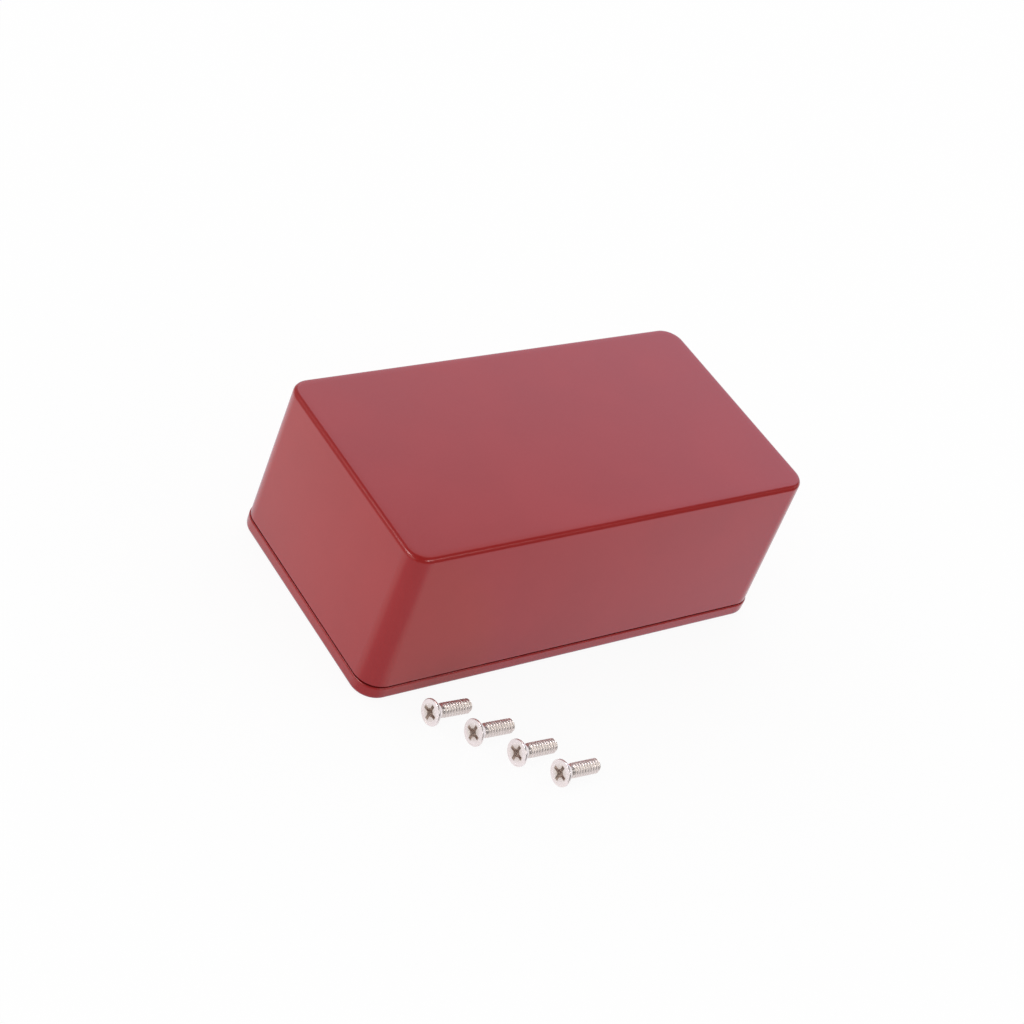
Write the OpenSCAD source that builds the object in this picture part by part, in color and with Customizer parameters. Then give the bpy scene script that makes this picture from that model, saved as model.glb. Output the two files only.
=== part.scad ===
// Small die-cast project enclosure: a drafted box standing on its lid, with the four lid screws lying beside it.
// Millimetres, +Z up. The origin is the middle of the lid's underside, X runs along the long side.

/* [Case] */
// Overall length, across the lid
case_l = 112; // [90:1:160]
// Overall width, across the lid
case_w = 60.3; // [48:0.1:100]
// Overall height, lid included
case_h = 41.8; // [28:0.1:70]
// Plan radius of the box's upright corners, at the seam
corner_r = 5.8; // [4.5:0.1:9]
// Draft of the cast walls, in degrees
draft = 1.3; // [0.5:0.05:2.5]
// Thickness of the side walls
wall = 2.2; // [1.6:0.1:3]
// Thickness of the top panel
top_t = 2.3; // [1.6:0.1:4]
// Radius of the top panel's outer edge
edge_r = 0.95; // [0.6:0.05:2]
// Fillet between the walls and the top panel, inside
inner_edge_r = 1.5; // [0.6:0.1:2]
// Chamfer on the box's rim, outside
rim_chamfer = 0.15; // [0.05:0.05:0.4]

/* [Lid] */
// Height of the lid's side, up to the seam
lid_h = 4.1; // [3.4:0.1:6]
// Thickness of the lid's middle
lid_t = 2.2; // [1.6:0.1:2.8]
// How far the lid stands out past the box, all round
lid_over = 0.15; // [0:0.05:0.8]
// Plan radius of the lid's corners
lid_corner_r = 5.7; // [4:0.1:9]
// Radius of the lid's lower edge
lid_edge_r = 1.4; // [0.4:0.1:2]
// Radius of the lid's upper edge, at the seam
lid_top_r = 0.4; // [0.1:0.05:0.7]
// Height of the locating lip above the seam
lip_h = 1.8; // [1:0.1:4]
// Thickness of the locating lip
lip_t = 1.5; // [1:0.1:2.5]
// Clearance round the locating lip
lip_gap = 0.3; // [0.2:0.05:0.5]
// Open height of the shadow line at the seam
seam_gap = 0.3; // [0.1:0.05:0.5]
// Depth of the shadow line under the box's rim
seam_depth = 0.8; // [0.4:0.1:1.2]

/* [Corner posts] */
// From the lid's sides to the screw axes
post_inset = 6; // [5.8:0.1:8]
// Radius of the posts at the seam
post_r = 4.2; // [3.8:0.1:5]
// Depth of the tapped holes
tap_depth = 14; // [9:0.5:22]

/* [Screws] */
// Outer diameter of the thread
thread_d = 3.5; // [3:0.1:4.2]
// Pitch of the thread
thread_pitch = 0.8; // [0.5:0.05:0.9]
// Overall length of a screw
screw_l = 11.1; // [9:0.1:16]
// Diameter of the countersunk head
head_d = 6.2; // [5.8:0.1:7.2]
// Height of the head's cylindrical edge
head_land = 0.45; // [0.15:0.05:0.6]
// Angle of the countersink, in degrees
sink_angle = 82; // [80:1:100]
// Span of the cross recess
recess_d = 3.9; // [3:0.1:4.4]
// Width of a wing of the cross recess
recess_w = 0.8; // [0.6:0.05:1.2]
// Diameter of the recess's hollow middle, at the face
recess_core = 1.9; // [1.4:0.1:2.6]
// Depth of the cross recess
recess_depth = 1.5; // [1:0.1:1.9]
// Chamfer at the tip
tip_chamfer = 0.5; // [0.3:0.05:0.7]
// Clearance of the thread in the lid's holes, on the diameter
hole_gap = 0.4; // [0.2:0.05:0.6]
// Depth of the screw heads below the lid's underside when fitted
head_sunk = 0.25; // [0.1:0.05:0.4]

/* [Screws laid out] */
// Clear space between the case and the nearest screw
row_gap = 5.3; // [2:0.1:20]
// From the case's left end to the first screw's head
row_inset = 12; // [5:0.5:30]
// Step from screw to screw along the case
row_step = 6.6; // [0:0.1:12]
// Clear space between neighbouring heads
screw_gap = 1.7; // [0.5:0.1:6]
// Turn of the screws from the case's long side, in degrees
row_turn = 2; // [0:0.5:6]

/* [Hidden] */
$fn = 96;
screw_count = 4;
over = 1;

// Plan of the box and of its cavity, at the seam
box_l = case_l - 2 * lid_over;
box_w = case_w - 2 * lid_over;
cavity_l = box_l - 2 * wall;
cavity_w = box_w - 2 * wall;
ceiling_z = case_h - top_t;
draft_in = (ceiling_z - lid_h) * tan(draft);
cavity_r = max(corner_r - wall, inner_edge_r + draft_in + 0.3);

// The lip stands just inside the walls and clear of the posts
lip_l = cavity_l - 2 * lip_gap;
lip_w = cavity_w - 2 * lip_gap;
lip_r = cavity_r - lip_gap;
pad_r = post_r + lip_gap;

// The posts thicken towards the top panel, but stay inside the outer skin of the rounded corners
post_h = ceiling_z + top_t / 2 - lid_h;
post_skin = min(corner_r + sqrt(2) * (post_inset - lid_over - corner_r), post_inset - lid_over);
post_foot_r = min(post_r, post_skin - wall / 4);
post_top_r = min(post_r + post_h * tan(draft), post_skin - post_h * tan(draft) - wall / 4);

// Screw axes, and the holes that take the screws
post_x = case_l / 2 - post_inset;
post_y = case_w / 2 - post_inset;
tap_d = thread_d - thread_pitch;
hole_d = thread_d + hole_gap;
head_h = head_land + (head_d - thread_d) / 2 / tan(sink_angle / 2);
sink_d = head_d + 2 * (head_sunk + head_land) * tan(sink_angle / 2);
sink_depth = (sink_d - hole_d) / 2 / tan(sink_angle / 2);

// A loose screw rests on the edge of its head and the end of its thread
lying_tilt = atan((head_d - thread_d) / 2 / (screw_l - tip_chamfer - head_land));
lying_z = head_d / 2 * cos(lying_tilt) + head_land * sin(lying_tilt);

paint_red = [0.6, 0.17, 0.19];
nickel = [0.82, 0.8, 0.77];

// Upright block with rounded corners: the child is half its section, measured outwards from the corner axes
module rounded_block(l, w, r, z0, z1) {
    a = l / 2 - r;
    b = w / 2 - r;
    corners = [[a, b], [-a, b], [-a, -b], [a, -b]];
    union() {
        translate([-a, -b, z0]) cube([2 * a, 2 * b, z1 - z0]);
        for (k = [0 : 3]) {
            translate(corners[k]) rotate(90 * k) rotate_extrude(angle = 90) children();
            out = k % 2 == 0 ? a : b;
            half = k % 2 == 0 ? b : a;
            rotate(90 * k) translate([out, half, 0]) rotate([90, 0, 0]) linear_extrude(2 * half) children();
        }
    }
}

// Quarter of a disc, to round the outer corner of a section
module quarter_disc(r) {
    intersection() {
        circle(r);
        square(2 * r);
    }
}

// Half section with upright sides
module plain_section(r, z0, z1) {
    translate([0, z0]) square([r, z1 - z0]);
}

// Half section of a drafted wall with a rounded top edge: r is its radius at z0, and foot chamfers its lower edge
module drafted_section(r, z0, z1, round_r, foot = 0) {
    cz = z1 - round_r;
    cx = r - (cz - z0) * tan(draft) - round_r / cos(draft);
    wall_end = [cx + round_r * cos(draft), cz + round_r * sin(draft)];
    base = foot > 0 ? [[r - foot, z0], [r - foot * tan(draft), z0 + foot]] : [[r, z0]];
    union() {
        polygon(concat([[0, z0]], base, [wall_end, [cx, z1], [0, z1]]));
        translate([cx, cz]) quarter_disc(round_r);
    }
}

// Half section of the lid's edge: rounded below and above, with the shadow line cut over its upper edge
module lid_section() {
    cx = lid_corner_r - lid_edge_r;
    ledge_w = lid_over + seam_depth;
    ledge_z = lid_h - seam_gap;
    top_r = min(lid_top_r, ledge_w);
    land_r = lid_corner_r - ledge_w;
    union() {
        polygon([
            [0, 0], [cx, 0], [lid_corner_r, lid_edge_r], [lid_corner_r, ledge_z - top_r],
            [lid_corner_r - top_r, ledge_z], [land_r, ledge_z], [land_r, lid_h], [0, lid_h]
        ]);
        translate([cx, lid_edge_r]) mirror([0, 1]) quarter_disc(lid_edge_r);
        translate([lid_corner_r - top_r, ledge_z - top_r]) quarter_disc(top_r);
    }
}

module at_posts() {
    for (sx = [-1, 1], sy = [-1, 1]) translate([sx * post_x, sy * post_y, 0]) children();
}

// Corner post, drafted, from the seam to the top panel
module post() {
    translate([0, 0, lid_h]) cylinder(h = post_h, r1 = post_foot_r, r2 = post_top_r);
}

module box() {
    color(paint_red) difference() {
        union() {
            difference() {
                rounded_block(box_l, box_w, corner_r, lid_h, case_h)
                    drafted_section(corner_r, lid_h, case_h, edge_r, rim_chamfer);
                rounded_block(cavity_l, cavity_w, cavity_r, lid_h - over, ceiling_z)
                    drafted_section(cavity_r + over * tan(draft), lid_h - over, ceiling_z, inner_edge_r);
            }
            at_posts() post();
        }
        at_posts() translate([0, 0, lid_h - over]) cylinder(h = tap_depth + over, d = tap_d);
    }
}

// Locating lip, broken where the posts stand
module lip() {
    difference() {
        rounded_block(lip_l, lip_w, lip_r, lid_h, lid_h + lip_h) plain_section(lip_r, lid_h, lid_h + lip_h);
        lip_inside(lid_h, lid_h + lip_h + over);
        at_posts() translate([0, 0, lid_h]) cylinder(h = lip_h + over, r = pad_r);
    }
}

// Space inside the lip
module lip_inside(z0, z1) {
    r = max(lip_r - lip_t, 0.5);
    rounded_block(lip_l - 2 * lip_t, lip_w - 2 * lip_t, r, z0, z1) plain_section(r, z0, z1);
}

module lid() {
    color(paint_red) difference() {
        union() {
            difference() {
                rounded_block(case_l, case_w, lid_corner_r, 0, lid_h) lid_section();
                difference() {
                    lip_inside(lid_t, lid_h + over);
                    at_posts() cylinder(h = lid_h + over, r = pad_r);
                }
            }
            lip();
        }
        at_posts() {
            translate([0, 0, -over]) cylinder(h = lid_h + 2 * over, d = hole_d);
            cylinder(h = sink_depth, d1 = sink_d, d2 = hole_d);
        }
    }
}

// Countersunk screw along +Z, with its face at z = 0
module screw() {
    difference() {
        rotate_extrude() polygon([
            [0, 0], [head_d / 2, 0], [head_d / 2, head_land], [thread_d / 2, head_h],
            [thread_d / 2, screw_l - tip_chamfer], [thread_d / 2 - tip_chamfer, screw_l], [0, screw_l]
        ]);
        recess();
    }
}

// Cross recess: two crossed wings round a hollow middle, all narrowing to a blunt point
module recess() {
    cylinder(h = recess_depth, d1 = recess_core, d2 = recess_w);
    intersection() {
        cylinder(h = recess_depth, d1 = recess_d, d2 = recess_w);
        for (turn = [0, 90]) rotate(turn) translate([-recess_d, -recess_w / 2, -over]) {
            cube([2 * recess_d, recess_w, recess_depth + 2 * over]);
        }
    }
}

module lid_screws() {
    color(nickel) for (k = [0 : screw_count - 1]) {
        x = -case_l / 2 + row_inset + k * row_step;
        y = -case_w / 2 - row_gap - head_d / 2 - k * (head_d + screw_gap);
        translate([x, y, lying_z]) rotate([0, 90 + lying_tilt, row_turn]) screw();
    }
}

box();
lid();
lid_screws();
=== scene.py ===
# Red die-cast electronics enclosure standing on its lid, its four lid screws laid out beside it.
import math

import bpy
from mathutils import Matrix, Vector


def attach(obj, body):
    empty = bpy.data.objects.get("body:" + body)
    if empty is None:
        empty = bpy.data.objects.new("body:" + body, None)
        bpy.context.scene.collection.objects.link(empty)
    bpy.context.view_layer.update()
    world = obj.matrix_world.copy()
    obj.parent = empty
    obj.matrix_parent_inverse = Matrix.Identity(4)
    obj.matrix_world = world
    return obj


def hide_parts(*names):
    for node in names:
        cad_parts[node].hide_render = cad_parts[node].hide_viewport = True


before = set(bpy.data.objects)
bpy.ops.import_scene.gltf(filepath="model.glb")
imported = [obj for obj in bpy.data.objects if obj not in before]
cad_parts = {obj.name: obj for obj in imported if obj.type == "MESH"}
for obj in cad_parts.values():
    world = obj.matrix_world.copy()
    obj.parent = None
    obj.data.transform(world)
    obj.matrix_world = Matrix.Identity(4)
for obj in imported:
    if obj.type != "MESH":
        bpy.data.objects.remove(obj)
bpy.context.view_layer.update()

scene = bpy.context.scene
scene.view_settings.view_transform = "Standard"

MM, MM_PER_M = 0.001, 1000.0

# Sizes of the box in millimetres, as in the part's source. Paint makes its top edge a bit rounder.
CASE_L, CASE_W, CASE_H = 112.0, 60.3, 41.8
DRAFT_ANGLE = 1.3
DRAFT = math.tan(math.radians(DRAFT_ANGLE))
BOX_CORNER_R, WALL, TOP_T = 5.8, 2.2, 2.3
EDGE_R, EDGE_RUN = 1.05, 1.1
INNER_EDGE_R, RIM_R, RIM_INNER_R = 1.5, 0.15, 0.1
POST_X, POST_Y, POST_R, POST_TOP_R = 50.0, 24.15, 4.2, 4.47
TAP_D, TAP_DEPTH = 2.7, 14.0
CEILING = CASE_H - TOP_T

# Sizes of the lid and the seam
LID_OVER, LID_H, LID_T = 0.15, 4.1, 2.2
LID_CORNER_R, LID_EDGE_R, LID_TOP_R = 5.7, 1.4, 0.4
LIP_H, LIP_T, LIP_GAP = 1.8, 1.5, 0.3
LIP_FOOT, LIP_LEAD, LIP_EDGE = 0.3, 0.3, 0.15
SEAM_GAP, SEAM_DEPTH = 0.3, 0.8
LEDGE = LID_H - SEAM_GAP
HOLE_D, HEAD_SUNK = 3.9, 0.25

# How far the axes of the upright corners of box and lip stand in from the outside of the lid
BOX_AXIS = LID_OVER + BOX_CORNER_R

# Sizes of the screws. The thread is drawn a little under its nominal diameter.
THREAD_D, PITCH, BLANK_D = 3.4, 0.8, 3.1
THREAD_DEPTH, THREAD_FADE = 0.6 * PITCH, 1.8 * PITCH
SCREW_L, TIP_CHAMFER, TIP_EDGE = 11.1, 0.5, 0.12
HEAD_D, HEAD_LAND, HEAD_EDGE_R, SINK_ANGLE = 6.2, 0.45, 0.2, 82.0
SINK_SLOPE = math.tan(math.radians(SINK_ANGLE / 2))
RECESS_D, RECESS_W, RECESS_CORE, RECESS_DEPTH = 3.9, 0.8, 1.9, 1.5
FIRST_HEAD, HEAD_STEP, ROW_TURN, SCREW_COUNT = (-44.0, -38.55), (6.6, -7.9), 2.0, 4

# Fineness of the meshes
CORNER_STEPS, POST_SIDES, HOLE_SIDES, TAP_SIDES = 14, 64, 48, 40
SCREW_SIDES, RINGS_PER_PITCH = 56, 20
WELD = 0.002 * MM


def rgb(r, g, b):
    return (r, g, b, 1.0)


# Colours
PAINT_DARK = rgb(0.318, 0.0175, 0.0165)
PAINT_LIGHT = rgb(0.340, 0.0200, 0.0190)
PAINT_FLECK = rgb(0.40, 0.030, 0.029)
# Painted shade on the rounded top edge of the box
PAINT_EDGE_SHADE = rgb(0.306, 0.0125, 0.0115)
# Painted shade in the groove of the seam under the box's rim
PAINT_SEAM_SHADE = rgb(0.17, 0.007, 0.007)
CAST_DARK = rgb(0.50, 0.50, 0.50)
CAST_LIGHT = rgb(0.62, 0.615, 0.605)
NICKEL = rgb(0.97, 0.885, 0.88)
NICKEL_STAIN = rgb(0.94, 0.855, 0.825)
# Painted shade in the thread's roots
NICKEL_ROOT_SHADE = rgb(0.70, 0.62, 0.56)
# Painted shade in the cross recess
RECESS_SHADE = rgb(0.39, 0.29, 0.24)
WHITE = rgb(1, 1, 1)
PAPER = rgb(0.98, 0.98, 0.98)
PAPER_TOOTH = rgb(0.96, 0.96, 0.96)
PAPER_MIRRORED = rgb(0.86, 0.845, 0.865)
ROOM_DARK = rgb(0.07, 0.07, 0.075)
ROOM_TABLE = rgb(0.55, 0.525, 0.63)


# Node trees

def named(sockets, key):
    """The socket at a number, or the first one in use with that name."""
    if isinstance(key, int):
        return sockets[key]
    return next(s for s in sockets if s.name == key and s.enabled)


class Wire:
    """An output socket. Arithmetic on it adds Math nodes to its tree."""

    def __init__(self, plan, socket):
        self.plan, self.socket = plan, socket

    def also(self, name):
        """Another output of the same node."""
        return Wire(self.plan, named(self.socket.node.outputs, name))

    def __add__(self, other):
        return self.plan.math("ADD", self, other)

    def __sub__(self, other):
        return self.plan.math("SUBTRACT", self, other)

    def __rsub__(self, other):
        return self.plan.math("SUBTRACT", other, self)

    def __mul__(self, other):
        return self.plan.math("MULTIPLY", self, other)

    def __truediv__(self, other):
        return self.plan.math("DIVIDE", self, other)

    def __mod__(self, other):
        return self.plan.math("FLOORED_MODULO", self, other)

    __radd__ = __add__


class Plan:
    """A node tree that is being drawn up."""

    def __init__(self, tree):
        self.tree = tree
        tree.nodes.clear()

    def node(self, kind, settings=None, sockets=None, out=0):
        """Adds a node: its settings, then its sockets' values or links. Returns one output."""
        node = self.tree.nodes.new(kind)
        for name, value in (settings or {}).items():
            setattr(node, name, value)
        for key, value in (sockets or {}).items():
            socket = named(node.inputs, key)
            wires = value if isinstance(value, list) else [value]
            for wire in wires:
                if isinstance(wire, Wire):
                    self.tree.links.new(wire.socket, socket)
                else:
                    socket.default_value = wire
        return Wire(self, named(node.outputs, out)) if node.outputs else None

    def math(self, operation, *terms):
        return self.node("ShaderNodeMath", {"operation": operation}, dict(enumerate(terms)))

    def ramp(self, value, low, high):
        """0 below low, 1 above high, smooth between."""
        limits = {"Value": value, "From Min": low, "From Max": high}
        return self.node("ShaderNodeMapRange", {"interpolation_type": "SMOOTHSTEP"}, limits)

    def blend(self, share, first, second):
        """Colour that goes from first to second."""
        settings = {"data_type": "RGBA", "clamp_factor": True}
        sockets = {"Factor": share, "A": first, "B": second}
        return self.node("ShaderNodeMix", settings, sockets, "Result")

    def mix(self, share, first, second):
        """Shader that goes from first to second."""
        return self.node("ShaderNodeMixShader", {}, {"Fac": share, 1: first, 2: second})

    def noise(self, place, size_mm, detail=2.0, roughness=0.5):
        """Noise whose grains are about that size."""
        return self.node("ShaderNodeTexNoise", {}, {
            "Vector": place, "Scale": MM_PER_M / size_mm,
            "Detail": detail, "Roughness": roughness})

    def bumps(self, height, strength, distance):
        """Normal of a surface with that fine relief."""
        return self.node("ShaderNodeBump", {}, {
            "Strength": strength, "Distance": distance, "Height": height}, "Normal")


def between(share, first, second):
    """Number that goes from first to second."""
    return first + share * (second - first)


# Finishes

def finish(name):
    """A new material, its tree, and the place on the piece as a vector and in millimetres."""
    material = bpy.data.materials.new(name)
    material.use_nodes = True
    plan = Plan(material.node_tree)
    place = plan.node("ShaderNodeTexCoord", {}, {}, "Object")
    x = plan.node("ShaderNodeSeparateXYZ", {}, {"Vector": place}, "X")
    return material, plan, place, [axis * MM_PER_M for axis in (x, x.also("Y"), x.also("Z"))]


def painted_casting(name, unpainted, painted_shade, shade_red):
    """Glossy red paint with a fine orange peel over cast aluminium.

    unpainted gives the share of bare metal at a point, and painted_shade the share of the darker red
    painted in as shade.
    """
    material, plan, place, (x, y, z) = finish(name)
    speckle = plan.noise(place, size_mm=1.1, detail=3.0)
    patches = plan.noise(place, size_mm=9.0, detail=4.0)
    bare = unpainted(plan, x, y, z, patches + (speckle - 0.5) * 0.7)
    painted = 1.0 - bare

    cloud = plan.noise(place, size_mm=22.0, detail=3.0)
    pigment = plan.noise(place, size_mm=0.35, detail=1.0)
    fleck_share = plan.ramp(pigment, 0.35, 0.75) * 0.1
    red = plan.blend(plan.ramp(cloud, 0.3, 0.7), PAINT_DARK, PAINT_LIGHT)
    red = plan.blend(fleck_share, red, PAINT_FLECK)
    # A darker red is painted in as shade
    red = plan.blend(painted_shade(plan, x, y, z), red, shade_red)
    paint_roughness = 0.23 + (cloud - 0.5) * 0.05
    peel = plan.noise(place, size_mm=0.9, detail=1.5) * painted * 1.2

    flow = plan.noise(place, size_mm=6.0, detail=4.0)
    metal = plan.blend(plan.ramp(flow, 0.35, 0.65), CAST_DARK, CAST_LIGHT)
    metal_roughness = 0.42 + flow * 0.16
    grain = plan.noise(place, size_mm=0.5, detail=4.0, roughness=0.65) * bare * 4.0

    surface = plan.node("ShaderNodeBsdfPrincipled", {}, {
        "Base Color": plan.blend(bare, red, metal), "Metallic": bare,
        "Roughness": paint_roughness * painted + metal_roughness * bare, "IOR": 1.5,
        "Normal": plan.bumps(peel + grain, strength=0.5, distance=0.01 * MM)})
    plan.node("ShaderNodeOutputMaterial", {}, {"Surface": surface})
    return material


def corner_reach(plan, x, y, inset):
    """How far a point lies outside the rectangle through the corners' axes."""
    over_x = plan.math("MAXIMUM", plan.math("ABSOLUTE", x) - (CASE_L / 2 - inset), 0.0)
    over_y = plan.math("MAXIMUM", plan.math("ABSOLUTE", y) - (CASE_W / 2 - inset), 0.0)
    return plan.math("SQRT", over_x * over_x + over_y * over_y)


def skin_depth(plan, x, y, z):
    """How far a point lies under the box's drafted skin, whose corners each keep one axis."""
    return BOX_CORNER_R - (z - LID_H) * DRAFT - corner_reach(plan, x, y, BOX_AXIS)


def paint_fade(plan, distance, per_mm, mist, low, high):
    """Share of bare metal at a distance from where the paint begins to thin out into a mist."""
    return plan.ramp(distance * per_mm + (mist - 0.5) * 0.9, low, high)


def inside_box(plan, x, y, z, mist):
    """The paint reaches only a little way past the rim into the box."""
    depth = plan.math("MINIMUM", skin_depth(plan, x, y, z), CASE_H - z)
    inner_side = plan.ramp(depth, WALL - 0.45, WALL - 0.15)
    return inner_side * paint_fade(plan, z - LID_H, 0.055, mist, 0.15, 0.75)


def top_edge_shade(plan, x, y, z):
    """Painted shade: a darker red on the rounded edge of the top panel."""
    from_side = plan.math("MAXIMUM", 1.0 - skin_depth(plan, x, y, z) / EDGE_RUN, 0.0)
    from_top = plan.math("MAXIMUM", 1.0 - (CASE_H - z) / EDGE_R, 0.0)
    return plan.ramp(from_side * from_top, 0.0, 0.3)


def inside_lid(plan, x, y, z, mist):
    """The lid's inner side has paint mist that thins out towards the middle."""
    from_end = CASE_L / 2 - plan.math("ABSOLUTE", x)
    from_side = CASE_W / 2 - plan.math("ABSOLUTE", y)
    margin = 2.6
    inwards = plan.math("MINIMUM", from_end, from_side) - margin
    inner_side = plan.ramp(z, LID_T - 0.15, LID_T - 0.05)
    return inner_side * paint_fade(plan, inwards, 0.09, mist, 0.1, 0.7)


def seam_shade(plan, x, y, z):
    """Painted shade: a darker red in the groove under the rim of the box."""
    depth = LID_CORNER_R - corner_reach(plan, x, y, LID_CORNER_R)
    return plan.ramp(z, LEDGE - 0.2, LEDGE - 0.05) * plan.ramp(depth, 0.1, 0.3)


def nickel_plating():
    """Bright nickel, with painted shade: darker in the thread's roots and brownish in the recess."""
    material, plan, place, _ = finish("nickel_plating")
    turned = plan.node("ShaderNodeAttribute", {"attribute_name": "turned"}, {}, "Fac")
    crest = plan.node("ShaderNodeAttribute", {"attribute_name": "crest"}, {}, "Fac")
    stain = plan.noise(place, size_mm=1.6, detail=4.0, roughness=0.6)
    scratch = plan.noise(place, size_mm=0.12)
    plate = plan.blend(plan.ramp(stain, 0.35, 0.7), NICKEL, NICKEL_STAIN)
    # Painted shade: the thread's roots take a darker colour
    plate = plan.blend(crest, NICKEL_ROOT_SHADE, plate)
    surface = plan.node("ShaderNodeBsdfPrincipled", {}, {
        # Painted shade: the recess takes a dark brown in place of the plate colour
        "Base Color": plan.blend(turned, RECESS_SHADE, plate),
        "Metallic": between(turned, 0.15, 0.70),
        "Roughness": between(turned, 0.62, 0.25) + (stain - 0.5) * 0.14,
        "Normal": plan.bumps(scratch, strength=0.25, distance=0.004 * MM)})
    plan.node("ShaderNodeOutputMaterial", {}, {"Surface": surface})
    return material


def paper_floor():
    """Plain white paper that keeps a soft shadow and is clear from below.

    Gloss sees it only in a patch round the row of screws.
    """
    material, plan, place, (x, y, _) = finish("white_paper")
    path = plan.node("ShaderNodeLightPath", {}, {}, "Is Camera Ray")
    clear = plan.node("ShaderNodeBsdfTransparent")

    tooth = plan.blend(plan.noise(place, size_mm=3.0), PAPER_TOOTH, PAPER)
    paper = plan.node("ShaderNodeBsdfDiffuse", {}, {"Color": tooth})
    lit = plan.node("ShaderNodeBsdfDiffuse", {}, {"Color": PAPER})
    white = plan.node("ShaderNodeEmission", {}, {"Color": WHITE, "Strength": 1.0})
    plain_white = 0.92
    front = plan.mix(path, paper, plan.mix(plain_white, lit, white))

    row = Vector(HEAD_STEP).normalized()
    middle = Vector(FIRST_HEAD) + Vector((15.0, -12.0))
    half_length, half_width = 32.0, 20.0
    from_x, from_y = x - middle.x, y - middle.y
    along = (from_x * row.x + from_y * row.y) / half_length
    aside = (from_y * row.x - from_x * row.y) / half_width
    outside = plan.ramp(along * along + aside * aside, 0.5, 1.0)
    glow = plan.node("ShaderNodeEmission", {}, {"Color": PAPER_MIRRORED, "Strength": 1.0})
    front = plan.mix(path.also("Is Glossy Ray"), front, plan.mix(outside, glow, clear))

    back = plan.node("ShaderNodeNewGeometry", {}, {}, "Backfacing")
    plan.node("ShaderNodeOutputMaterial", {}, {"Surface": plan.mix(back, front, clear)})
    return material


# Geometry trees

def geometry_plan(name, sizes):
    """A geometry tree with one input for each size: its plan, its section, the sizes' wires."""
    tree = bpy.data.node_groups.new(name, "GeometryNodeTree")
    tree.interface.new_socket("Geometry", in_out="OUTPUT", socket_type="NodeSocketGeometry")
    tree.interface.new_socket("Section", in_out="INPUT", socket_type="NodeSocketGeometry")
    kinds = {int: "NodeSocketInt", float: "NodeSocketFloat", tuple: "NodeSocketVector"}
    for label, value in sizes.items():
        tree.interface.new_socket(label, in_out="INPUT", socket_type=kinds[type(value)])
    plan = Plan(tree)
    section = plan.node("NodeGroupInput", {}, {}, "Section")
    return plan, section, {label: section.also(label) for label in sizes}


def section_grid(plan, section, around):
    """One row of points, closed round, for each point of the section.

    Returns the grid, each point's step round its row, and the section point of its row.
    """
    rows = plan.node("GeometryNodeAttributeDomainSize", {"component": "MESH"}, {
        "Geometry": section}, "Point Count")
    columns = around + 1
    grid = plan.node("GeometryNodeMeshGrid", {}, {
        "Size X": 1.0, "Size Y": 1.0, "Vertices X": rows, "Vertices Y": columns}, "Mesh")
    index = plan.node("GeometryNodeInputIndex")
    row = plan.math("FLOOR", index / columns)
    step = (index - row * columns) % around
    held = plan.node("GeometryNodeInputPosition")
    point = plan.node("GeometryNodeSampleIndex", {"data_type": "FLOAT_VECTOR", "domain": "POINT"}, {
        "Geometry": section, "Value": held, "Index": row}, "Value")
    first = plan.node("ShaderNodeSeparateXYZ", {}, {"Vector": point}, "X")
    return grid, step, (first, first.also("Y"), first.also("Z"))


def placed(plan, mesh, x, y, z):
    """Moves the grid's points to their places and closes its seam and poles."""
    place = plan.node("ShaderNodeCombineXYZ", {}, {"X": x, "Y": y, "Z": z})
    mesh = plan.node("GeometryNodeSetPosition", {}, {"Geometry": mesh, "Position": place})
    return plan.node("GeometryNodeMergeByDistance", {}, {"Geometry": mesh, "Distance": WELD})


def rounded_shell(plan, section, length, width, steps):
    """Closed shell round a rounded rectangle. A section point holds inset, radius and height."""
    per_corner = steps + 1
    grid, step, (inset, radius, height) = section_grid(plan, section, per_corner * 4)
    quarter = plan.math("FLOOR", step / per_corner)
    angle = (quarter + (step - quarter * per_corner) / steps) * (math.pi / 2)
    middle = (quarter + 0.5) * (math.pi / 2)
    side_x = plan.math("SIGN", plan.math("COSINE", middle))
    side_y = plan.math("SIGN", plan.math("SINE", middle))
    reach = inset + radius
    x = side_x * (length / 2 - reach) + radius * plan.math("COSINE", angle)
    y = side_y * (width / 2 - reach) + radius * plan.math("SINE", angle)
    return placed(plan, grid, x, y, height)


def round_pin(plan, low, high, bottom_radius, top_radius, sides):
    """Upright pin or cone between two heights."""
    pin = plan.node("GeometryNodeMeshCone", {"fill_type": "NGON"}, {
        "Vertices": sides, "Radius Top": top_radius, "Radius Bottom": bottom_radius,
        "Depth": high - low}, "Mesh")
    place = plan.node("ShaderNodeCombineXYZ", {}, {"Z": low})
    return plan.node("GeometryNodeTransform", {}, {"Geometry": pin, "Translation": place})


def at_posts(plan, mesh, sizes):
    """The mesh at each of the four screw axes."""
    corners = plan.node("GeometryNodeMeshGrid", {}, {
        "Size X": sizes["Post Span X"], "Size Y": sizes["Post Span Y"],
        "Vertices X": 2, "Vertices Y": 2}, "Mesh")
    copies = plan.node("GeometryNodeInstanceOnPoints", {}, {"Points": corners, "Instance": mesh})
    return plan.node("GeometryNodeRealizeInstances", {}, {"Geometry": copies})


def combined(plan, operation, sockets):
    settings = {"operation": operation, "solver": "EXACT"}
    return plan.node("GeometryNodeMeshBoolean", settings, sockets)


def carved(plan, mesh, cutter):
    return combined(plan, "DIFFERENCE", {0: mesh, 1: cutter})


def fused(plan, *meshes):
    return combined(plan, "UNION", {1: list(meshes)})


def overlap(plan, *meshes):
    return combined(plan, "INTERSECT", {1: list(meshes)})


def realized(plan, mesh, material):
    """The mesh with its instances made real, in its finish."""
    mesh = plan.node("GeometryNodeRealizeInstances", {}, {"Geometry": mesh})
    return plan.node("GeometryNodeSetMaterial", {}, {"Geometry": mesh, "Material": material})


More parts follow.
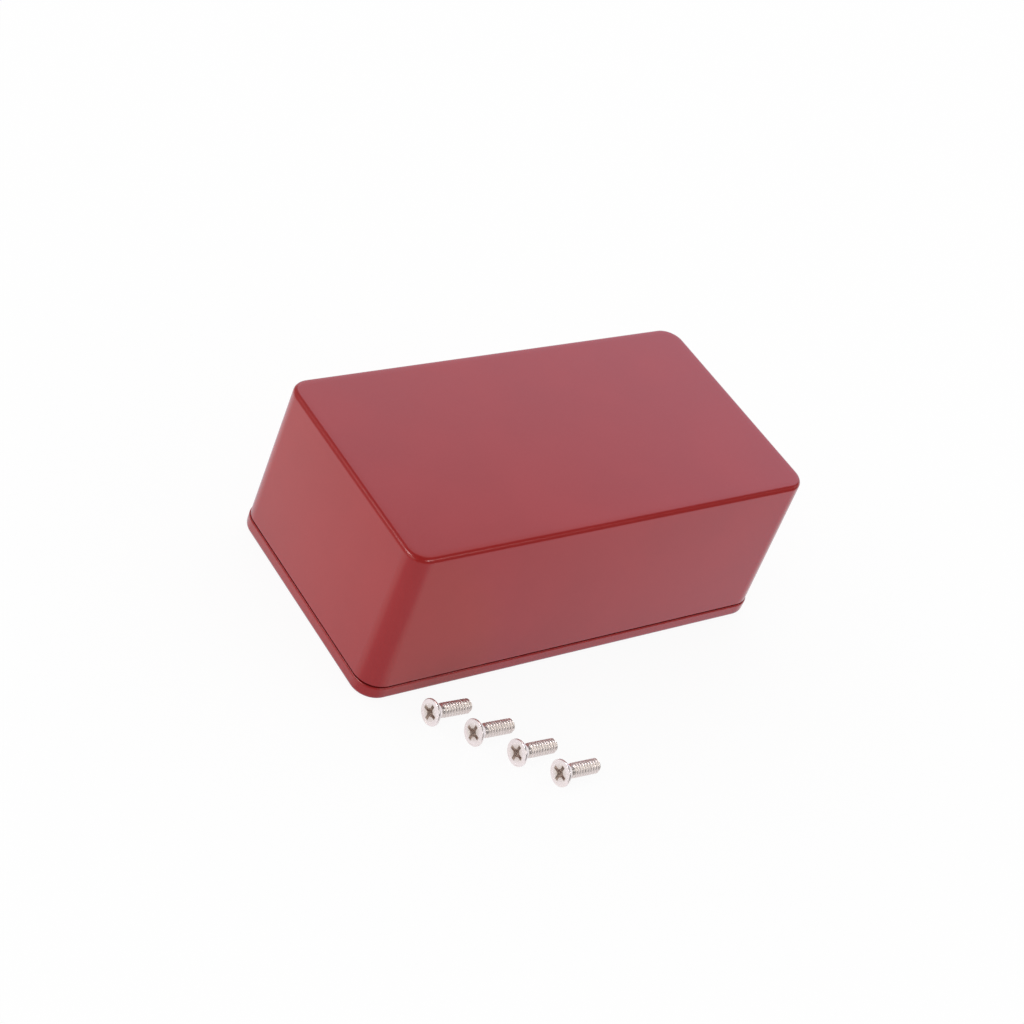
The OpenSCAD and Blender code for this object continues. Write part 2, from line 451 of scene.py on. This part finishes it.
def crisp(plan, mesh, material, limit=0.6):
    """Smooth faces with sharp edges past an angle in radians, and the finish."""
    mesh = plan.node("GeometryNodeSetShadeSmooth", {"domain": "FACE"}, {
        0: mesh, "Shade Smooth": True})
    bend = plan.node("GeometryNodeInputMeshEdgeAngle", {}, {}, "Unsigned Angle")
    hard = plan.node("FunctionNodeCompare", {"data_type": "FLOAT", "operation": "GREATER_THAN"}, {
        "A": bend, "B": limit})
    mesh = plan.node("GeometryNodeSetShadeSmooth", {"domain": "EDGE"}, {
        0: mesh, "Selection": hard, "Shade Smooth": False})
    return realized(plan, mesh, material)


def grown_piece(name, plan, result, section, sizes):
    """Runs a geometry tree on its section, and returns the result as a plain mesh object."""
    plan.node("NodeGroupOutput", {}, {"Geometry": result})
    points = bpy.data.meshes.new(name + "_section")
    points.from_pydata([Vector(p) * MM for p in section], [], [])
    maker = bpy.data.objects.new(name + "_maker", points)
    modifier = maker.modifiers.new("grow", "NODES")
    modifier.node_group = plan.tree
    for item in plan.tree.interface.items_tree:
        if item.name in sizes:
            modifier[item.identifier] = sizes[item.name]
    scene.collection.objects.link(maker)
    graph = bpy.context.evaluated_depsgraph_get()
    mesh = bpy.data.meshes.new_from_object(
        maker.evaluated_get(graph), preserve_all_data_layers=True, depsgraph=graph)
    bpy.data.objects.remove(maker)
    bpy.data.meshes.remove(points)
    mesh.name = name
    piece = bpy.data.objects.new(name, mesh)
    scene.collection.objects.link(piece)
    return piece


# Sections, in millimetres. A ring beside each rounding keeps its shading off the flat faces.

def arc(x, z, radius, start, stop, steps):
    """Points on an arc, angles in degrees from the outward side."""
    turns = [math.radians(start + (stop - start) * k / steps) for k in range(steps + 1)]
    return [(x + radius * math.cos(t), z + radius * math.sin(t)) for t in turns]


def corner_rings(axis, line):
    """Insets, corner radii and heights of a line of radii and heights from one corner axis."""
    return [(axis - r, r, z) for r, z in line]


def drafted(radius, z):
    """Corner radius of a drafted wall at a height."""
    return radius - (z - LID_H) * DRAFT


def box_section():
    """From the middle of the top panel, down the outside, round the rim, up to mid-ceiling."""
    inner_r = BOX_CORNER_R - WALL
    top_z, rim_z, inner_z = CASE_H - EDGE_R, LID_H + RIM_R, CEILING - INNER_EDGE_R
    top_x = drafted(BOX_CORNER_R, top_z) - EDGE_RUN
    rim_x = drafted(BOX_CORNER_R, rim_z) - RIM_R
    inner_x = drafted(inner_r, inner_z) - INNER_EDGE_R / math.cos(math.radians(DRAFT_ANGLE))
    rim_inner_x, rim_inner_z = inner_r + RIM_INNER_R, LID_H + RIM_INNER_R
    run = EDGE_RUN / EDGE_R
    edge = arc(top_x, top_z, EDGE_R, 90, 0, 12)
    line = [(0, CASE_H), (top_x - 1.2, CASE_H)]
    line += [(top_x + (r - top_x) * run, z) for r, z in edge]
    line += [(drafted(BOX_CORNER_R, z), z) for z in (top_z - 0.25, 28, 16, rim_z + 0.25)]
    line += arc(rim_x, rim_z, RIM_R, 0, -90, 4)
    line += [(rim_x - 0.1, LID_H), (rim_inner_x + 0.1, LID_H)]
    line += arc(rim_inner_x, rim_inner_z, RIM_INNER_R, 270, 180, 2)
    line += [(drafted(inner_r, z), z) for z in (LID_H + 0.4, 12, 24, inner_z - 0.3)]
    line += arc(inner_x, inner_z, INNER_EDGE_R, DRAFT_ANGLE, 90, 6)
    line += [(inner_x - 0.2, CEILING), (0, CEILING)]
    rings = corner_rings(BOX_AXIS, line)
    return [(CASE_W / 2, 0, CASE_H)] + rings + [(CASE_W / 2, 0, CEILING)]


def lid_section():
    """From mid-floor inside, over the lip, along the seam, down the side, back under the lid."""
    lip_r = BOX_CORNER_R - WALL - LIP_GAP
    lip_in_r, lip_z = lip_r - LIP_T, LID_H + LIP_H
    lip = [(0, LID_T), (lip_in_r - LIP_FOOT, LID_T), (lip_in_r, LID_T + LIP_FOOT)]
    lip += [(lip_in_r, lip_z - LIP_EDGE), (lip_in_r + LIP_EDGE, lip_z)]
    lip += [(lip_r - LIP_LEAD, lip_z), (lip_r, lip_z - LIP_LEAD), (lip_r, LID_H)]

    land_r = LID_CORNER_R - LID_OVER - SEAM_DEPTH
    upper_r, lower_r = LID_CORNER_R - LID_TOP_R, LID_CORNER_R - LID_EDGE_R
    side = [(land_r - 0.1, LID_H), (land_r, LID_H - 0.1), (land_r, LEDGE + 0.05)]
    side += [(land_r + 0.05, LEDGE), (upper_r - 0.1, LEDGE)]
    side += arc(upper_r, LEDGE - LID_TOP_R, LID_TOP_R, 90, 0, 6)
    side += [(LID_CORNER_R, LEDGE - LID_TOP_R - 0.2), (LID_CORNER_R, LID_EDGE_R + 0.2)]
    side += arc(lower_r, LID_EDGE_R, LID_EDGE_R, 0, -90, 8)
    side += [(lower_r - 0.2, 0), (0, 0)]

    rings = corner_rings(BOX_AXIS, lip) + corner_rings(LID_CORNER_R, side)
    return [(CASE_W / 2, 0, LID_T)] + rings + [(CASE_W / 2, 0, 0)]


def screw_section():
    """From mid-tip to mid-head: plain radius, thread depth and distance from the head's face."""
    root, blank, rim = THREAD_D / 2 - THREAD_DEPTH, BLANK_D / 2, HEAD_D / 2
    neck_z = HEAD_LAND + (rim - blank) / SINK_SLOPE
    tip_z = SCREW_L - TIP_EDGE
    line = [(0, 0, SCREW_L), (root - TIP_EDGE, 0, SCREW_L)]
    line += [(root - TIP_EDGE / 3, 0, SCREW_L - TIP_EDGE / 2)]
    steps = round((tip_z - neck_z) / PITCH * RINGS_PER_PITCH)
    for k in range(steps + 1):
        z = tip_z - (tip_z - neck_z) * k / steps
        lead = min(1.0, (SCREW_L - z) / TIP_CHAMFER)
        fade = min(1.0, max(0.0, (z - neck_z) / THREAD_FADE))
        line.append((root + (blank - root) * (1 - fade), THREAD_DEPTH * lead * fade, z))
    line += [(blank + 0.3, 0, neck_z - 0.3 / SINK_SLOPE)]
    line += [(rim - 0.04, 0, HEAD_LAND + 0.03), (rim, 0, HEAD_LAND - 0.03)]
    line += [(r, 0, z) for r, z in arc(rim - HEAD_EDGE_R, HEAD_EDGE_R, HEAD_EDGE_R, 0, -90, 6)]
    line += [(rim - HEAD_EDGE_R - 0.1, 0, 0), (RECESS_D / 2 + 0.3, 0, 0), (0, 0, 0)]
    return line


# Pieces

def cast_box(material):
    """Drafted cast box, open below, with a tapped post in each corner."""
    above_rim, into_ceiling, below_rim, lead = 0.02, 0.2, 2.0 * MM, 0.3 * MM
    sizes = {
        "Length": CASE_L * MM, "Width": CASE_W * MM, "Corner Steps": CORNER_STEPS,
        "Post Span X": 2 * POST_X * MM, "Post Span Y": 2 * POST_Y * MM,
        "Post Radius": POST_R * MM, "Post Top Radius": POST_TOP_R * MM,
        "Post Foot": (LID_H + above_rim) * MM, "Post Top": (CEILING + into_ceiling) * MM,
        "Tap Radius": TAP_D / 2 * MM, "Tap End": (LID_H + TAP_DEPTH) * MM}
    plan, section, s = geometry_plan("cast box", sizes)
    shell = rounded_shell(plan, section, s["Length"], s["Width"], s["Corner Steps"])
    foot, tap_r = s["Post Foot"], s["Tap Radius"]
    post = round_pin(plan, foot, s["Post Top"], s["Post Radius"], s["Post Top Radius"], POST_SIDES)
    tap = round_pin(plan, foot - below_rim, s["Tap End"], tap_r, tap_r, TAP_SIDES)
    lead_in = round_pin(plan, foot - lead, foot + lead, tap_r + 2 * lead, tap_r, TAP_SIDES)
    mesh = fused(plan, shell, at_posts(plan, post, s))
    mesh = carved(plan, mesh, at_posts(plan, tap, s))
    mesh = carved(plan, mesh, at_posts(plan, lead_in, s))
    return grown_piece("cast_box", plan, crisp(plan, mesh, material), box_section(), sizes)


def cast_lid(material):
    """Cast lid with a locating lip, a pad under each post and four countersunk holes."""
    below_seam, over_pad, below_lid, pad_root = 0.01 * MM, 4.0 * MM, 0.2 * MM, 0.3
    sink_r = HEAD_D / 2 + (HEAD_SUNK + HEAD_LAND) * SINK_SLOPE
    sizes = {
        "Length": CASE_L * MM, "Width": CASE_W * MM, "Corner Steps": CORNER_STEPS,
        "Post Span X": 2 * POST_X * MM, "Post Span Y": 2 * POST_Y * MM,
        "Pad Radius": (POST_R + LIP_GAP) * MM, "Seam": LID_H * MM,
        "Hole Radius": HOLE_D / 2 * MM, "Sink Radius": sink_r * MM, "Sink Slope": SINK_SLOPE}
    plan, section, s = geometry_plan("cast lid", sizes)
    shell = rounded_shell(plan, section, s["Length"], s["Width"], s["Corner Steps"])
    seam, pad_r, hole_r = s["Seam"], s["Pad Radius"], s["Hole Radius"]
    pad_z = seam - below_seam
    room = round_pin(plan, pad_z, pad_z + over_pad, pad_r, pad_r, POST_SIDES)
    pad = round_pin(plan, pad_z * pad_root, pad_z, pad_r, pad_r, POST_SIDES)
    hole = round_pin(plan, seam * -1.0, seam * 2.0, hole_r, hole_r, HOLE_SIDES)
    sink_depth = (s["Sink Radius"] - hole_r) / s["Sink Slope"]
    sink_foot_r = s["Sink Radius"] + s["Sink Slope"] * below_lid
    sink = round_pin(plan, -below_lid, sink_depth, sink_foot_r, hole_r, HOLE_SIDES)
    mesh = carved(plan, shell, at_posts(plan, room, s))
    mesh = fused(plan, mesh, at_posts(plan, pad, s))
    mesh = carved(plan, mesh, at_posts(plan, hole, s))
    mesh = carved(plan, mesh, at_posts(plan, sink, s))
    return grown_piece("cast_lid", plan, crisp(plan, mesh, material), lid_section(), sizes)


def threaded_body(plan, section, s):
    """Turned screw without its recess.

    The attribute crest is 1 off the thread and falls to 0 in its roots. turned is 1 all over.
    """
    grid, step, (radius, depth, height) = section_grid(plan, section, s["Sides"])
    turn = step / s["Sides"]
    flank = plan.math("ABSOLUTE", (height / s["Pitch"] - turn) % 1.0 * 2.0 - 1.0)
    ridge = plan.ramp(flank, 0.2, 0.8)
    reach = radius + depth * ridge
    no_thread = plan.math("LESS_THAN", depth, 0.02 * MM)
    # Painted shade: the thread's crests stay below the full plate colour, which dims their glints
    crest = plan.math("MAXIMUM", no_thread, ridge * 0.75)
    for name, domain, value in (("crest", "POINT", crest), ("turned", "FACE", 1.0)):
        settings = {"data_type": "FLOAT", "domain": domain}
        grid = plan.node("GeometryNodeStoreNamedAttribute", settings, {
            "Geometry": grid, "Name": name, "Value": value})
    angle = turn * math.tau
    x, y = reach * plan.math("COSINE", angle), reach * plan.math("SINE", angle)
    return placed(plan, grid, x, y, height)


def cross_recess(plan, s):
    """Cutter for the recess: two crossed wings and a round core, all narrowing with depth."""
    span, width, depth = s["Recess Span"], s["Recess Width"], s["Recess Depth"]
    above_face = 0.2

    def narrowing(face_span, end):
        spare = (face_span - width) * (above_face / 2)
        low_r = face_span / 2 + spare
        return round_pin(plan, depth * -above_face, end, low_r, width / 2, HOLE_SIDES)

    size = plan.node("ShaderNodeCombineXYZ", {}, {"X": span * 1.1, "Y": width, "Z": depth * 4.0})
    wing = plan.node("GeometryNodeMeshCube", {}, {"Size": size}, "Mesh")
    across = plan.node("GeometryNodeTransform", {}, {
        "Geometry": wing, "Rotation": (0.0, 0.0, math.pi / 2)})
    cross = overlap(plan, fused(plan, wing, across), narrowing(span, depth))
    return fused(plan, cross, narrowing(s["Recess Core"], depth * 0.97))


def countersunk_screws(material):
    """Row of screws, each lying on the edge of its head and the end of its thread."""
    tilt = math.atan((HEAD_D - THREAD_D) / 2 / (SCREW_L - TIP_CHAMFER - HEAD_LAND))
    face_z = HEAD_D / 2 * math.cos(tilt) + HEAD_LAND * math.sin(tilt)
    sizes = {
        "Pitch": PITCH * MM, "Sides": SCREW_SIDES, "Count": SCREW_COUNT,
        "Recess Span": RECESS_D * MM, "Recess Width": RECESS_W * MM,
        "Recess Core": RECESS_CORE * MM, "Recess Depth": RECESS_DEPTH * MM,
        "First Head": (FIRST_HEAD[0] * MM, FIRST_HEAD[1] * MM, face_z * MM),
        "Step": (HEAD_STEP[0] * MM, HEAD_STEP[1] * MM, 0.0),
        "Lie": (0.0, math.pi / 2 + tilt, math.radians(ROW_TURN))}
    plan, section, s = geometry_plan("countersunk screws", sizes)
    screw = carved(plan, threaded_body(plan, section, s), cross_recess(plan, s))
    screw = crisp(plan, screw, material, limit=0.9)
    row = plan.node("GeometryNodeMeshLine", {"mode": "OFFSET"}, {
        "Count": s["Count"], "Start Location": s["First Head"], "Offset": s["Step"]})
    lie = plan.node("FunctionNodeEulerToRotation", {}, {"Euler": s["Lie"]})
    row = plan.node("GeometryNodeInstanceOnPoints", {}, {
        "Points": row, "Instance": screw, "Rotation": lie})
    row = realized(plan, row, material)
    return grown_piece("countersunk_screws", plan, row, screw_section(), sizes)


# Stage, light and camera

def floor():
    """Wide sheet of white paper under the part."""
    side = 4.0
    corners = [(-side, -side, 0), (side, -side, 0), (side, side, 0), (-side, side, 0)]
    mesh = bpy.data.meshes.new("floor")
    mesh.from_pydata(corners, [], [(0, 1, 2, 3)])
    mesh.materials.append(paper_floor())
    sheet = bpy.data.objects.new("floor", mesh)
    scene.collection.objects.link(sheet)


def surroundings():
    """Soft white room. Gloss sees a white table, a white wall behind, and lamps in a darker room."""
    world = bpy.data.worlds.new("soft_room")
    scene.world = world
    world.use_nodes = True
    plan = Plan(world.node_tree)
    look = plan.node("ShaderNodeTexCoord", {}, {}, "Generated")

    def towards(x, y, z):
        """Cosine of the angle between the look and that way."""
        return plan.node("ShaderNodeVectorMath", {"operation": "DOT_PRODUCT"}, {
            0: look, 1: Vector((x, y, z)).normalized()}, "Value")

    def card(colour, aim, inner, outer, tint):
        """A soft round card over the colour, full inside one angle and gone past the other."""
        gone, full = math.cos(math.radians(outer)), math.cos(math.radians(inner))
        return plan.blend(plan.ramp(towards(*aim), gone, full), colour, rgb(*tint))

    mirrored = plan.blend(plan.ramp(towards(0, 0, -1), 0.35, 0.62), ROOM_DARK, ROOM_TABLE)
    # Wall behind
    mirrored = card(mirrored, (-0.50, 0.75, 0.40), 15, 60, (0.40, 0.40, 0.43))
    mirrored = card(mirrored, (0.60, 0.78, 0.05), 20, 42, (1.00, 1.00, 1.12))
    # Table, as the upright sides mirror it
    mirrored = card(mirrored, (0.44, -0.62, -0.65), 8, 22, (0.75, 0.71, 0.83))
    mirrored = card(mirrored, (0.80, -0.22, -0.56), 14, 32, (0.98, 0.92, 1.03))
    mirrored = card(mirrored, (0.70, -0.42, -0.57), 2, 8, (1.10, 1.03, 1.22))
    mirrored = card(mirrored, (-0.25, 0.85, -0.47), 16, 36, (1.22, 1.22, 1.30))
    # Upper wall and ceiling, as the top panel mirrors them
    mirrored = card(mirrored, (0.74, 0.50, 0.44), 6, 30, (1.60, 1.53, 1.96))
    mirrored = card(mirrored, (0.40, 0.76, 0.51), 8, 17, (1.78, 1.74, 2.06))
    mirrored = card(mirrored, (0.55, 0.46, 0.72), 4, 9.5, (0.66, 0.56, 0.56))
    # Both ends of the table
    mirrored = card(mirrored, (0.93, 0.15, -0.25), 20, 36, (1.05, 1.12, 1.18))
    mirrored = card(mirrored, (-0.80, 0.36, -0.50), 8, 24, (0.96, 0.96, 1.00))
    mirrored = card(mirrored, (-0.53, 0.60, -0.60), 1, 4.5, (1.12, 1.00, 1.05))
    # Walls at both sides
    mirrored = card(mirrored, (0.85, -0.30, 0.45), 8, 16, (0.85, 0.85, 0.85))
    mirrored = card(mirrored, (-0.95, -0.15, 0.20), 12, 30, (1.3, 1.26, 1.20))
    # Table close to the part
    mirrored = card(mirrored, (0.46, 0.43, -0.78), 12, 26, (1.05, 1.18, 1.28))
    mirrored = card(mirrored, (0.0, 0.57, -0.82), 10, 24, (0.82, 0.98, 1.06))
    # Lamps
    mirrored = card(mirrored, (-0.62, 0.33, 0.71), 4, 16, (6.0, 6.0, 6.0))
    mirrored = card(mirrored, (-0.70, 0.09, 0.71), 6, 12, (9.0, 9.0, 9.0))
    mirrored = card(mirrored, (0.36, -0.65, 0.67), 3, 14, (4.0, 4.0, 4.0))
    mirrored = card(mirrored, (0.12, -0.75, 0.65), 4, 9, (8.0, 8.0, 8.0))

    # Soft light, stronger from two sides and weaker from above and from the upper front
    mean, side_gain, side_lean, above_loss, front_loss = 1.265, 0.5, 0.06, 0.42, 0.6
    across, above, front = towards(0.687, -0.727, 0), towards(0, 0, 1), towards(0, -0.707, 0.707)
    level = mean + across * across * side_gain - across * side_lean
    level = level - above * above * above_loss - front * front * front_loss

    gloss = plan.node("ShaderNodeBackground", {}, {"Color": mirrored, "Strength": 1.0})
    soft = plan.node("ShaderNodeBackground", {}, {"Color": WHITE, "Strength": level})
    white = plan.node("ShaderNodeBackground", {}, {"Color": WHITE, "Strength": 1.0})
    path = plan.node("ShaderNodeLightPath", {}, {}, "Is Camera Ray")
    light = plan.mix(path, plan.mix(path.also("Is Glossy Ray"), soft, gloss), white)
    plan.node("ShaderNodeOutputWorld", {}, {"Surface": light})


def photo_camera():
    """Camera where the picture was taken from, rolled as it was held."""
    azimuth, elevation, roll = (math.radians(a) for a in (-46.71, 38.542, 22.666))
    aim, distance = Vector((-5.977, -2.304, 21.048)) * MM, 514.414 * MM
    focal_pixels, picture_pixels, sensor = 2245.4, 1024, 36.0
    level_x, level_y = math.sin(azimuth), -math.cos(azimuth)
    flat = math.cos(elevation)
    back = Vector((level_x * flat, level_y * flat, math.sin(elevation)))
    right = back.cross(Vector((0, 0, -1))).normalized()
    up = back.cross(right)
    rolled_right = right * math.cos(roll) + up * math.sin(roll)
    rolled_up = up * math.cos(roll) - right * math.sin(roll)
    turned = Matrix((rolled_right, rolled_up, back)).transposed().to_4x4()
    data = bpy.data.cameras.new("camera")
    data.sensor_width, data.lens = sensor, sensor * focal_pixels / picture_pixels
    data.clip_start, data.clip_end = 0.01, 20.0
    camera = bpy.data.objects.new("camera", data)
    camera.matrix_world = Matrix.Translation(aim + back * distance) @ turned
    scene.collection.objects.link(camera)
    scene.camera = camera


photo_camera()
surroundings()
floor()

box = cast_box(painted_casting("red_paint_box", inside_box, top_edge_shade, PAINT_EDGE_SHADE))
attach(box, "box")
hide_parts("box")

lid = cast_lid(painted_casting("red_paint_lid", inside_lid, seam_shade, PAINT_SEAM_SHADE))
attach(lid, "lid")
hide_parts("lid")

screws = countersunk_screws(nickel_plating())
screws.visible_glossy = False
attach(screws, "lid")
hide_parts("lid_screws")
